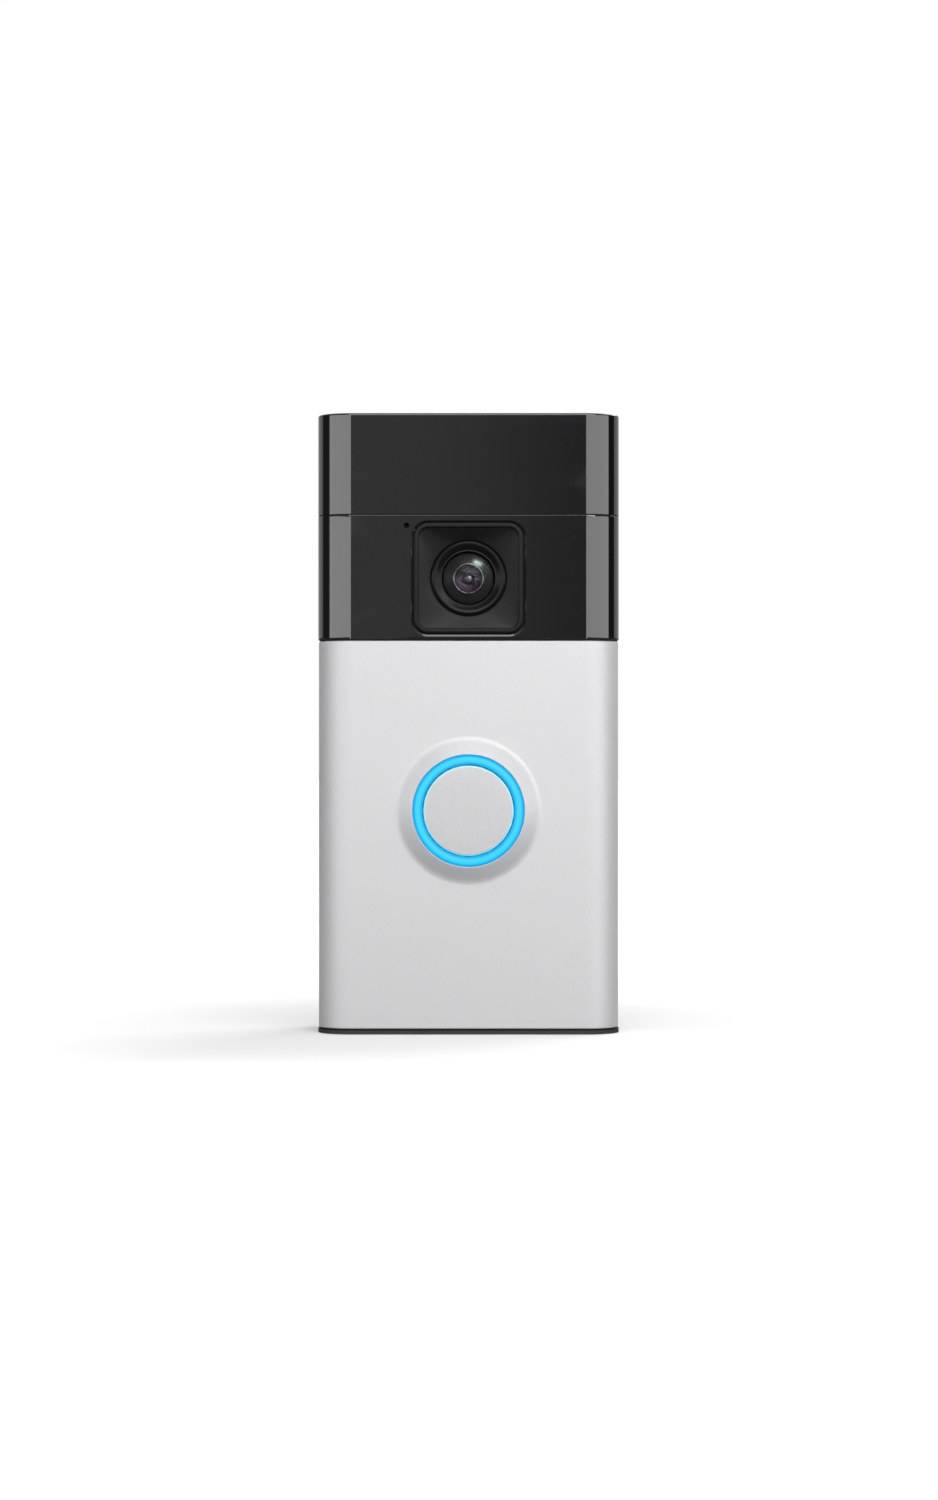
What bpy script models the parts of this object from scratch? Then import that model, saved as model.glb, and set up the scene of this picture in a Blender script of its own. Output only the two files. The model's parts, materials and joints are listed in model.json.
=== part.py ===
"""Battery video doorbell on its wall bracket, each piece a separate solid.

The front faces -Y, the wall is on +Y and the bottom of the housing stands at Z = 0.
Lengths below are in millimetres, and the meshes are made in metres.
"""
import math

import bmesh
import bpy
from mathutils import Vector

MM = 0.001

# Driving dimensions.
WIDTH = 62.0
HEIGHT = 127.0
FRONT = -12.0
CREST = -14.0
SHELL_BACK = 2.0
HOUSING_BACK = 10.8
WALL = 14.0
CORNER = 7.0
SHELL = 1.4
GAP = 0.3
RIM = 0.75
PLATE_TOP = 80.45
FASCIA_TOP = 106.15
CAMERA_Z = 93.3
BUTTON_Z = 45.7
MICROPHONE_X = -12.65
MICROPHONE_Z = 104.0
INSIDE = WIDTH / 2 - SHELL - GAP
FRAME_FRONT = FRONT + SHELL + GAP + 0.1
BACK_WALL = 9.3

# Looks: colour, roughness, metallic.
GLOSS_BLACK = ((0.020, 0.020, 0.022), 0.10, 0.0)
MATTE_BLACK = ((0.025, 0.025, 0.027), 0.55, 0.0)
SATIN_SILVER = ((0.62, 0.62, 0.63), 0.32, 0.8)
RUBBER = ((0.03, 0.03, 0.03), 0.80, 0.0)
GLASS = ((0.05, 0.04, 0.08), 0.03, 0.0)
LIT_BLUE = ((0.07, 0.72, 1.0), 0.35, 0.0)
SILICONE = ((0.55, 0.55, 0.56), 0.60, 0.0)
STEEL = ((0.55, 0.55, 0.56), 0.30, 1.0)
BRASS = ((0.70, 0.52, 0.22), 0.35, 1.0)
BOARD_GREEN = ((0.02, 0.14, 0.06), 0.45, 0.0)
BOARD_WHITE = ((0.80, 0.80, 0.80), 0.50, 0.0)
TINNED = ((0.68, 0.68, 0.69), 0.35, 1.0)
CHIP_BLACK = ((0.02, 0.02, 0.02), 0.45, 0.0)
FOAM = ((0.05, 0.05, 0.05), 0.95, 0.0)
BATTERY_BLUE = ((0.03, 0.16, 0.42), 0.40, 0.0)
AMBER = ((0.60, 0.32, 0.06), 0.50, 0.0)


def clear_scene():
    for old in list(bpy.data.objects):
        bpy.data.objects.remove(old, do_unlink=True)


def material(name, look):
    """A Principled material of one colour, roughness and metallic value."""
    color, roughness, metallic = look
    made = bpy.data.materials.new(name)
    made.use_nodes = True
    shader = made.node_tree.nodes["Principled BSDF"]
    shader.inputs["Base Color"].default_value = (*color, 1.0)
    shader.inputs["Roughness"].default_value = roughness
    shader.inputs["Metallic"].default_value = metallic
    return made


def finish(name, bm, look, x=0.0, z=0.0):
    """The object of a closed bmesh, with its faces outward, at (x, 0, z)."""
    bmesh.ops.remove_doubles(bm, verts=bm.verts, dist=1e-6)
    bmesh.ops.recalc_face_normals(bm, faces=bm.faces)
    mesh = bpy.data.meshes.new(name)
    bm.to_mesh(mesh)
    bm.free()
    piece = bpy.data.objects.new(name, mesh)
    bpy.context.collection.objects.link(piece)
    piece.location = (x * MM, 0.0, z * MM)
    if look:
        mesh.materials.append(material(name, look))
    return piece


def arc(center, radius, start, end, steps):
    """Points along an arc in its plane, from start to end in degrees."""
    points = []
    for step in range(steps + 1):
        angle = math.radians(start + (end - start) * step / steps)
        points.append((center[0] + radius * math.cos(angle), center[1] + radius * math.sin(angle)))
    return points


def rounded(u0, u1, v0, v1, radius, steps=4):
    """A rectangle's outline with one corner radius."""
    r = radius
    outline = arc((u1 - r, v0 + r), r, -90, 0, steps)
    outline += arc((u1 - r, v1 - r), r, 0, 90, steps)
    outline += arc((u0 + r, v1 - r), r, 90, 180, steps)
    outline += arc((u0 + r, v0 + r), r, 180, 270, steps)
    return outline


def circle(center, radius, steps=16):
    return arc(center, radius, 0, 360 - 360 / steps, steps - 1)


def rectangle(u0, u1, v0, v1):
    return [(u0, v0), (u1, v0), (u1, v1), (u0, v1)]


def plan(half, front, back, front_radius, back_radius):
    """The closed plan seen from above: large front corners, small back ones."""
    f, b = front_radius, back_radius
    outline = arc((half - f, front + f), f, -90, 0, 8)
    outline += arc((half - b, back - b), b, 0, 90, 3)
    outline += arc((b - half, back - b), b, 90, 180, 3)
    outline += arc((f - half, front + f), f, 180, 270, 8)
    return outline


def wrap(half, front, back, radius, wall):
    """The plan of a sheet that wraps round the front and both sides."""
    inner = radius - wall
    outline = [(-half, back)]
    outline += arc((radius - half, front + radius), radius, 180, 270, 8)
    outline += arc((half - radius, front + radius), radius, 270, 360, 8)
    outline += [(half, back), (half - wall, back)]
    outline += arc((half - radius, front + radius), inner, 360, 270, 8)
    outline += arc((radius - half, front + radius), inner, 270, 180, 8)
    outline += [(wall - half, back)]
    return outline


def prism(name, outline, axis, start, end, look=None, x=0.0, z=0.0):
    """An outline extruded along one axis; its points are the other two coordinates in order."""
    bm = bmesh.new()
    order = {"X": (2, 0, 1), "Y": (0, 2, 1), "Z": (0, 1, 2)}[axis]
    verts = []
    for u, v in outline:
        point = (u, v, start)
        verts.append(bm.verts.new([point[i] * MM for i in order]))
    face = bm.faces.new(verts)
    extruded = bmesh.ops.extrude_face_region(bm, geom=[face])
    moved = [item for item in extruded["geom"] if isinstance(item, bmesh.types.BMVert)]
    step = [0.0, 0.0, 0.0]
    step["XYZ".index(axis)] = (end - start) * MM
    bmesh.ops.translate(bm, verts=moved, vec=step)
    return finish(name, bm, look, x, z)


def box(name, xs, ys, zs, look=None):
    return prism(name, rectangle(xs[0], xs[1], zs[0], zs[1]), "Y", ys[0], ys[1], look)


def plate(name, xs, ys, zs, radius, look=None):
    """A flat piece square to Y with rounded corners."""
    return prism(name, rounded(xs[0], xs[1], zs[0], zs[1], radius), "Y", ys[0], ys[1], look)


def turned(name, profile, look=None, x=0.0, z=0.0, steps=32):
    """A profile of (radius, y) points spun round the Y line through (x, z).

    A profile that ends on the line at both ends makes a solid, any other one a ring.
    """
    bm = bmesh.new()
    verts = [bm.verts.new((radius * MM, y * MM, 0.0)) for radius, y in profile]
    solid = profile[0][0] == 0 and profile[-1][0] == 0
    pairs = list(zip(verts, verts[1:])) + ([] if solid else [(verts[-1], verts[0])])
    edges = [bm.edges.new(pair) for pair in pairs]
    bmesh.ops.spin(
        bm,
        geom=verts + edges,
        cent=(0, 0, 0),
        axis=(0, 1, 0),
        angle=math.tau,
        steps=steps,
        use_merge=True,
    )
    piece = finish(name, bm, look, x, z)
    piece.data.shade_smooth()
    piece.data.set_sharp_from_angle(angle=math.radians(35))
    return piece


def disc(name, radius, ys, look=None, x=0.0, z=0.0, steps=28):
    return turned(name, [(0, ys[0]), (radius, ys[0]), (radius, ys[1]), (0, ys[1])], look, x, z, steps)


def tube(name, inner, outer, ys, look=None, x=0.0, z=0.0, steps=28):
    profile = [(inner, ys[0]), (outer, ys[0]), (outer, ys[1]), (inner, ys[1])]
    return turned(name, profile, look, x, z, steps)


def shape_with(piece, tool, operation):
    modifier = piece.modifiers.new(operation.title(), "BOOLEAN")
    modifier.operation = operation
    modifier.object = tool
    bpy.context.view_layer.objects.active = piece
    bpy.ops.object.modifier_apply(modifier=modifier.name)
    bpy.data.objects.remove(tool, do_unlink=True)
    bm = bmesh.new()
    bm.from_mesh(piece.data)
    bmesh.ops.remove_doubles(bm, verts=bm.verts, dist=2e-6)
    bm.to_mesh(piece.data)
    bm.free()


def cut(piece, *tools):
    for tool in tools:
        shape_with(piece, tool, "DIFFERENCE")


def join(piece, *tools):
    for tool in tools:
        shape_with(piece, tool, "UNION")


def move_origin(piece, point):
    """Puts the object's origin on its joint's axis and leaves its shape in place."""
    target = Vector(point) * MM
    shift = piece.location - target
    for vertex in piece.data.vertices:
        vertex.co += shift
    piece.location = target


# ---- covers ------------------------------------------------------------------------------------

RING_OUTER = 11.55
RING_INNER = 9.40
FLARE_RADIUS = 14.8


def make_faceplate():
    """The satin sheet that wraps the lower front, with the button's flare formed up from it."""
    half = WIDTH / 2 - 0.15
    front = FRONT + 0.1
    outline = wrap(half, front, SHELL_BACK, CORNER - 0.15, SHELL)
    piece = prism("faceplate", outline, "Z", RIM + GAP, PLATE_TOP, SATIN_SILVER)
    hole = RING_OUTER + GAP
    rise = front - CREST
    profile = [(hole, front + SHELL - 0.2), (hole, CREST + 0.2), (hole + 0.2, CREST)]
    steps = 6
    for step in range(1, steps + 1):
        t = step / steps
        radius = hole + 0.4 + (FLARE_RADIUS + 0.6 - hole - 0.4) * t
        profile.append((radius, CREST + (rise + 0.1) * (3 * t**2 - 2 * t**3)))
    profile.append((profile[-1][0], front + SHELL - 0.2))
    flare = turned("flare", profile, z=BUTTON_Z)
    opening = disc("opening", hole + 0.6, (CREST - 1, SHELL_BACK), z=BUTTON_Z)
    cut(piece, opening)
    join(piece, flare)
    return piece


def make_camera_fascia():
    """Gloss black wrap with the camera's window and the microphone's hole."""
    outline = wrap(WIDTH / 2, FRONT, SHELL_BACK, CORNER, SHELL)
    piece = prism("camera_fascia", outline, "Z", PLATE_TOP + GAP, FASCIA_TOP, GLOSS_BLACK)
    window = plate("window", (-11.55, 11.55), (FRONT - 1, -8), (CAMERA_Z - 11.65, CAMERA_Z + 11.65), 3.3)
    hole = disc("hole", 0.6, (FRONT - 1, -8), x=MICROPHONE_X, z=MICROPHONE_Z, steps=16)
    cut(piece, window, hole)
    return piece


def make_sensor_cover():
    """Gloss black cap over the motion sensor, closed at the top."""
    outline = wrap(WIDTH / 2, FRONT, SHELL_BACK, CORNER, SHELL)
    piece = prism("sensor_cover", outline, "Z", FASCIA_TOP + 0.15, HEIGHT - 1.0, GLOSS_BLACK)
    top = plan(WIDTH / 2, FRONT, SHELL_BACK, CORNER, 0.4)
    roof = prism("roof", top, "Z", HEIGHT - SHELL, HEIGHT)
    join(piece, roof)
    return piece


# ---- frame and housing -------------------------------------------------------------------------

SCREW_PLACES = {
    "upper_left": (-24.0, 120.5),
    "upper_right": (24.0, 120.5),
    "lower_left": (-24.0, 7.0),
    "lower_right": (24.0, 7.0),
}
FRAME_BOTTOM = 2.4
FRAME_TOP = HEIGHT - SHELL - GAP


def make_front_frame():
    """The carrier behind the covers: open front wall, side walls and four screw bosses."""
    radius = CORNER - SHELL - GAP
    outline = plan(INSIDE, FRAME_FRONT, 1.7, radius, 0.5)
    piece = prism("front_frame", outline, "Z", FRAME_BOTTOM, FRAME_TOP, MATTE_BLACK)
    hollow = plan(INSIDE - 1.3, FRAME_FRONT + 1.2, 5.0, radius - 1.2, 0.5)
    cut(piece, prism("hollow", hollow, "Z", FRAME_BOTTOM + 1.3, FRAME_TOP - 1.3))
    for side, top in SCREW_PLACES.values():
        join(piece, disc("boss", 2.9, (FRAME_FRONT + 1.1, 3.0), x=side, z=top, steps=16))
        cut(piece, disc("bore", 1.5, (FRAME_FRONT + 3.5, 3.5), x=side, z=top, steps=16))
    through = (FRAME_FRONT - 1, FRAME_FRONT + 2)
    cut(
        piece,
        plate("camera_opening", (-21, 21), through, (81.0, 106.6), 2.0),
        plate("motion_opening", (-15, 15), through, (109.2, 121.8), 2.0),
        disc("button_opening", 13.7, through, z=BUTTON_Z),
        plate("light_opening", (-21, 21), through, (12.0, 28.0), 2.0),
        box("speaker_opening", (-14.6, 14.6), (-8.9, 3.0), (1.0, 5.0)),
    )
    return piece


POCKET_X = 20.0
POCKET_Z = (66.0, 92.5)
POCKET_FLOOR = 5.0
POCKET_WALL = 1.3
TERMINAL_X = 8.0
TERMINAL_Z = 72.0
PORT_X = -9.0
PORT_Z = 83.0
SETUP_X = 10.0
HINGE_Y = 7.2
HINGE_Z = 88.4
HOOK_SIDES = (-16.0, 16.0)
HOOK_HEIGHTS = (24.0, 103.0)
HOOK_HALF = 4.0


def hook_outline(height, root, tip, grow):
    """A 45 degree hook's side view, thicker all round by grow for the slot that takes it."""
    face = HOUSING_BACK + GAP
    lower = height + face - grow
    upper = height + face + 3.1 + grow
    return [(root, lower - root), (root, upper - root), (tip, upper - tip), (tip, lower - tip)]


def make_rear_housing():
    """The moulded back: a tub with a rim under the covers, a wiring pocket and hook slots."""
    band = plan(WIDTH / 2 - 0.05, SHELL_BACK + GAP, HOUSING_BACK, 0.4, 1.5)
    piece = prism("rear_housing", band, "Z", 0.1, HEIGHT, MATTE_BLACK)
    cavity = plan(INSIDE + 0.1, -1.0, BACK_WALL, 0.4, 1.0)
    cut(piece, prism("cavity", cavity, "Z", 2.0, HEIGHT - 1.6))
    rim = plan(WIDTH / 2, FRONT, HOUSING_BACK - 0.1, CORNER, 1.4)
    tongue = plan(INSIDE, FRAME_FRONT, SHELL_BACK + 0.6, CORNER - SHELL - GAP, 0.2)
    join(piece, prism("rim", rim, "Z", 0.0, RIM), prism("tongue", tongue, "Z", 0.2, 2.1))
    ledge = plate("ledge", (-INSIDE - 0.5, INSIDE + 0.5), (3.3, 4.8), (1.6, HEIGHT - 1.2), 0.5)
    cut(ledge, plate("inside", (-27.6, 27.6), (2, 6), (4.2, HEIGHT - 3.6), 1.5))
    join(piece, ledge)
    pocket = (-POCKET_X - POCKET_WALL, POCKET_X + POCKET_WALL)
    heights = (POCKET_Z[0] - POCKET_WALL, POCKET_Z[1] + POCKET_WALL)
    join(piece, plate("pocket", pocket, (POCKET_FLOOR - 1.2, BACK_WALL + 0.5), heights, 2.5))
    cut(piece, plate("recess", (-POCKET_X, POCKET_X), (POCKET_FLOOR, HOUSING_BACK + 1), POCKET_Z, 1.5))
    for side, top in SCREW_PLACES.values():
        join(piece, disc("post", 3.6, (3.5, BACK_WALL + 0.5), x=side, z=top, steps=16))
        head = disc("head", 2.8, (7.0, HOUSING_BACK + 1), x=side, z=top, steps=16)
        cut(piece, head, disc("bore", 1.6, (2.0, 8.0), x=side, z=top, steps=16))
    for side in HOOK_SIDES:
        for height in HOOK_HEIGHTS:
            slot = hook_outline(height, HOUSING_BACK + 0.6, 7.8, 0.45)
            span = (side - HOOK_HALF - GAP, side + HOOK_HALF + GAP)
            cut(piece, prism("slot", slot, "X", *span))
    cut(piece, box("notch", (-4.2, 4.2), (7.0, HOUSING_BACK + 1), (4.3, 9.0)))
    for side in (-11.0, -8.0, -5.0, 5.0, 8.0, 11.0):
        slot = rounded(side - 0.6, side + 0.6, -6.5, -0.7, 0.59, 3)
        cut(piece, prism("sound_slot", slot, "Z", -1.0, 3.0))
    return piece


def make_port_lugs(housing):
    """The two ears in the pocket that hold the charge cover's hinge pins."""
    for side in (PORT_X - 7.6, PORT_X + 7.6):
        ear = rounded(POCKET_FLOOR - 0.5, HINGE_Y + 1.5, HINGE_Z - 1.5, HINGE_Z + 1.5, 1.4, 3)
        join(housing, prism("ear", ear, "X", side - 0.7, side + 0.7))
        bore = circle((HINGE_Y, HINGE_Z), 0.85)
        cut(housing, prism("ear_bore", bore, "X", side - 1.0, side + 1.0))


def make_gasket():
    """The silicone ring between the frame's rim and the housing's ledge."""
    piece = plate("housing_gasket", (-29.1, 29.1), (2.0, 3.0), (2.6, 125.1), 1.5, SILICONE)
    cut(piece, plate("inside", (-28.2, 28.2), (1, 4), (3.5, 124.2), 1.5))
    return piece


def make_housing_screws():
    """Four cross screws from the back into the frame's bosses."""
    for name, (side, top) in SCREW_PLACES.items():
        profile = [(0, 9.4), (2.3, 9.4), (2.5, 9.0), (2.5, 7.4), (1.2, 7.3), (1.2, -4.0), (0, -4.6)]
        screw = turned("housing_screw_" + name, profile, STEEL, side, top, 16)
        for half in ((1.5, 0.25), (0.25, 1.5)):
            spans = ((side - half[0], side + half[0]), (8.2, 10.0), (top - half[1], top + half[1]))
            cut(screw, box("cross", *spans))


# ---- camera ------------------------------------------------------------------------------------

COVER_BORE = 7.8


def make_camera_cover():
    """The satin black square in the window, held from behind by its flange."""
    heights = (CAMERA_Z - 11.3, CAMERA_Z + 11.3)
    piece = plate("camera_cover", (-11.2, 11.2), (-11.5, -9.6), heights, 3.0, MATTE_BLACK)
    join(piece, plate("flange", (-12.6, 12.6), (FRONT + SHELL + GAP, -9.3), (81.3, 101.5), 1.0))
    step = plate("step", (-10.0, 10.0), (-13, -11.1), (CAMERA_Z - 10.1, CAMERA_Z + 10.1), 2.0)
    cut(piece, step, disc("bore", COVER_BORE, (-14, -8), z=CAMERA_Z))
    return piece


def make_lens_stack():
    """Everything on the camera's axis, from the front glass back to the image sensor."""
    z = CAMERA_Z
    hood = [(7.5, -11.3), (7.5, -9.0), (8.7, -9.0), (8.7, -8.2), (5.6, -8.2), (5.6, -10.9), (7.2, -11.4)]
    turned("lens_hood", hood, GLOSS_BLACK, z=z)
    dome = [(0, -11.5), (1.8, -11.42), (3.4, -11.15), (4.6, -10.75), (5.25, -10.4)]
    turned("front_lens", dome + [(5.25, -9.9), (0, -9.9)], GLASS, z=z)
    barrel = [(3.3, -9.6), (5.2, -9.6), (5.2, -4.6), (2.6, -4.6), (2.6, -5.3), (3.3, -5.3)]
    turned("lens_barrel", barrel, MATTE_BLACK, z=z)
    inner = [(0, -9.5), (1.6, -9.35), (2.6, -9.0), (3.0, -8.7), (3.0, -8.0), (0, -8.0)]
    turned("inner_lens", inner, GLASS, z=z)
    tube("aperture_plate", 1.1, 3.0, (-7.6, -7.2), CHIP_BLACK, z=z)
    disc("infrared_filter", 3.0, (-6.1, -5.6), GLASS, z=z)
    holder = plate("lens_holder", (-6.5, 6.5), (-7.0, -2.2), (z - 6.5, z + 6.5), 1.0, MATTE_BLACK)
    cut(holder, disc("bore", 5.5, (-8, -1), z=z))
    box("image_sensor", (-3.2, 3.2), (-3.2, -2.2), (z - 3.2, z + 3.2), CHIP_BLACK)
    board = plate("camera_board", (-12, 12), (-1.9, -0.9), (80.0, 106.0), 1.5, BOARD_GREEN)
    for side in (-9.8, 9.8):
        cut(board, disc("hole", 1.1, (-3, 0), x=side, z=83.0, steps=16))
    front_side = [(-2.5, 84.0), (-2.2, 84.0), (-2.2, 79.0), (-2.9, 72.0), (-2.9, 60.0)]
    back_side = [(-3.2, 60.0), (-3.2, 72.0), (-2.5, 79.0)]
    prism("camera_ribbon", front_side + back_side, "X", -4.0, 4.0, AMBER)


NIGHT_FRONT = -7.9


def make_night_board():
    """The board round the lens, with the infrared lights, the microphone and the light sensor."""
    depth = (NIGHT_FRONT, NIGHT_FRONT + 0.8)
    board = plate("night_board", (-20, 20), depth, (84, 106), 1.0, BOARD_GREEN)
    cut(board, plate("around_lens", (-10.5, 10.5), (-9, -6), (80, 102.2), 1.0))
    face = NIGHT_FRONT - GAP
    for name, side in (("left", -16.5), ("right", 16.5)):
        profile = [(0, face - 1.6), (0.8, face - 1.4), (1.4, face - 0.8), (1.5, face), (0, face)]
        turned("infrared_led_" + name, profile, GLASS, side, CAMERA_Z, 16)
    spans = ((MICROPHONE_X - 1.9, MICROPHONE_X + 1.9), (face - 1.0, face))
    box("microphone", *spans, (MICROPHONE_Z - 1.5, MICROPHONE_Z + 1.5), TINNED)
    seal = (FRONT + SHELL + GAP, face - 1.0 - GAP)
    tube("microphone_seal", 0.7, 1.8, seal, SILICONE, MICROPHONE_X, MICROPHONE_Z, 16)
    box("light_sensor", (11.6, 13.6), (face - 0.8, face), (103.0, 105.0), CHIP_BLACK)


def make_motion_sensor():
    """The heat sensor's can on its board, and the ribbed window in front of it."""
    top = 115.5
    plate("motion_board", (-14, 14), (-4.1, -3.1), (108.2, 122.4), 1.0, BOARD_GREEN)
    can = [(0, -8.6), (3.9, -8.6), (4.2, -8.3), (4.2, -5.0), (4.7, -5.0), (4.7, -4.4), (0, -4.4)]
    sensor = turned("motion_sensor", can, TINNED, z=top)
    cut(sensor, box("eye", (-2.0, 2.0), (-10.0, -8.2), (top - 1.4, top + 1.4)))
    window = plate("motion_lens", (-14.6, 14.6), (-10.2, -9.4), (109.6, 121.4), 1.6, SILICONE)
    for index in range(-4, 5):
        cut(window, box("groove", (3 * index - 0.3, 3 * index + 0.3), (-9.7, -9.0), (110.6, 120.4)))


# ---- button and its light ----------------------------------------------------------------------

BOARD_FACE = -6.0


def make_button():
    """The pressed cap, the light guide round it, the dome, the switch and the light board."""
    z = BUTTON_Z
    crest = CREST + 0.15
    ring = [(RING_INNER, crest + 0.4), (RING_INNER + 0.5, crest), (RING_OUTER - 0.5, crest)]
    ring += [(RING_OUTER, crest + 0.4), (RING_OUTER, -10.2)]
    ring += [(13.2, -10.2), (13.2, -9.4), (RING_INNER, -9.4)]
    turned("light_ring", ring, LIT_BLUE, z=z)
    cap = [(0, crest), (8.6, crest), (9.1, crest + 0.3), (9.1, -10.4), (7.9, -10.4), (7.9, -12.2)]
    cap += [(2.2, -12.2), (2.2, -9.4), (0, -9.4)]
    turned("button_cap", cap, SATIN_SILVER, z=z)
    face = BOARD_FACE - GAP
    dome = [(0, -9.1), (2.4, -9.1), (5.0, -7.6), (5.2, -6.9), (6.4, -6.9), (6.4, face), (4.7, face)]
    dome += [(4.7, -7.4), (2.2, -8.7), (0, -8.7)]
    turned("button_dome", dome, SILICONE, z=z, steps=32)
    switch = box("button_switch", (-3.0, 3.0), (face - 1.0, face), (z - 3.0, z + 3.0), CHIP_BLACK)
    join(switch, disc("plunger", 1.6, (face - 1.6, face - 0.5), z=z, steps=24))
    disc("light_board", 14.6, (BOARD_FACE, BOARD_FACE + 0.9), BOARD_WHITE, z=z)
    for index in range(4):
        angle = math.radians(45 + 90 * index)
        x = 10.6 * math.cos(angle)
        top = z + 10.6 * math.sin(angle)
        spans = ((x - 0.9, x + 0.9), (face - 0.9, face), (top - 0.9, top + 0.9))
        box("ring_led_" + str(index + 1), *spans, BOARD_WHITE)


# ---- electronics, battery and sound ------------------------------------------------------------


def make_electronics():
    plate("main_board", (-25, 25), (-2.6, -1.6), (12, 63), 1.5, BOARD_GREEN)
    plate("processor_shield", (-20, -2), (-4.9, -2.9), (13, 29), 0.6, TINNED)
    plate("wireless_shield", (2, 20), (-4.9, -2.9), (13, 27), 0.6, TINNED)
    box("antenna", (-16, 16), (-6.0, 0.5), (123.0, 123.6), AMBER)
    prism("battery_pack", rounded(-1.2, 6.3, 13.0, 62.0, 1.2), "X", -20, 20, BATTERY_BLUE)
    plate("battery_pad", (-17, 17), (6.6, 7.5), (34, 60), 1.0, FOAM)


def make_speaker():
    """The speaker faces down through the slots in the bottom, behind a dust mesh."""
    center = (0.0, -3.6)
    prism("speaker_mesh", rounded(-12.5, 12.5, -7.4, 0.6, 2.0), "Z", 2.4, 2.65, CHIP_BLACK)
    frame = prism("speaker_frame", rounded(-14, 14, -8.6, 1.4, 3.0), "Z", 2.95, 8.0, MATTE_BLACK)
    cut(frame, prism("mouth", rounded(-12.4, 12.4, -7.0, -0.2, 2.4), "Z", 1.0, 6.4))
    cut(frame, prism("throat", circle(center, 3.2, 28), "Z", 5.0, 9.0))
    cone = prism("speaker_cone", rounded(-12.1, 12.1, -6.7, -0.5, 2.2), "Z", 4.2, 4.8, CHIP_BLACK)
    join(cone, prism("coil", circle(center, 2.0, 24), "Z", 4.5, 6.0))
    prism("speaker_magnet", circle(center, 2.9, 28), "Z", 6.7, 11.4, STEEL)


# ---- wiring pocket -----------------------------------------------------------------------------


def make_pocket_parts(housing):
    """The charge port, the setup button and two terminals, all on the rear board."""
    plate("rear_board", (-19, 19), (-0.3, 0.7), (66, 92), 1.0, BOARD_GREEN)

    def around_port(half_width, half_height):
        return (PORT_X - half_width, PORT_X + half_width), (PORT_Z - half_height, PORT_Z + half_height)

    width, height = around_port(4.9, 2.05)
    mouth = plate("mouth", width, (0, 7), height, 1.9)
    cut(housing, mouth, disc("setup_bore", 2.5, (0, 7), x=SETUP_X, z=PORT_Z, steps=16))
    width, height = around_port(4.5, 1.65)
    port = plate("charge_port", width, (1.0, 6.2), height, 1.5, TINNED)
    width, height = around_port(4.1, 1.25)
    cut(port, plate("socket", width, (2, 7), height, 1.1))
    width, height = around_port(3.0, 0.35)
    join(port, box("contact", width, (1.5, 5.6), height))
    button = [(0, 2.9), (3.2, 2.9), (3.2, 3.5), (2.2, 3.5), (2.2, 6.1), (1.9, 6.4), (0, 6.4)]
    turned("setup_button", button, RUBBER, SETUP_X, PORT_Z, 20)
    width = (SETUP_X - 2, SETUP_X + 2)
    switch = box("setup_switch", width, (1.0, 1.8), (PORT_Z - 2, PORT_Z + 2), CHIP_BLACK)
    join(switch, disc("plunger", 1.0, (1.4, 2.35), x=SETUP_X, z=PORT_Z, steps=16))
    for name, side in (("left", -TERMINAL_X), ("right", TERMINAL_X)):
        cut(housing, disc("terminal_bore", 2.1, (0, 7), x=side, z=TERMINAL_Z, steps=16))
        head = [(0, 8.2), (2.8, 8.2), (3.2, 7.8), (3.2, 6.2), (3.9, 6.2), (3.9, 5.3)]
        shank = [(1.7, 5.3), (1.7, 1.1), (0, 1.1)]
        screw = turned("terminal_screw_" + name, head + shank, BRASS, side, TERMINAL_Z, 20)
        slot_height = (TERMINAL_Z - 0.4, TERMINAL_Z + 0.4)
        cut(screw, box("drive", (side - 2.6, side + 2.6), (7.2, 9), slot_height))


def make_port_cover():
    """The rubber cover of the charge port, hinged at its top edge."""
    flap = rounded(PORT_X - 6.3, PORT_X + 6.3, 79.4, HINGE_Z, 1.2)
    piece = prism("port_cover", flap, "Y", HINGE_Y - 0.6, HINGE_Y + 0.6, RUBBER)
    barrel = circle((HINGE_Y, HINGE_Z), 0.95)
    join(piece, prism("barrel", barrel, "X", PORT_X - 6.4, PORT_X + 6.4))
    pin = circle((HINGE_Y, HINGE_Z), 0.5, 12)
    join(piece, prism("pin", pin, "X", PORT_X - 8.0, PORT_X + 8.0))
    tab_width = (PORT_X - 2.2, PORT_X + 2.2)
    join(piece, plate("pull_tab", tab_width, (HINGE_Y, HINGE_Y + 1.3), (79.9, 81.5), 0.5))
    move_origin(piece, (PORT_X, HINGE_Y, HINGE_Z))
    return piece


# ---- wall bracket ------------------------------------------------------------------------------

BRACKET_FACE = HOUSING_BACK + GAP


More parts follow.
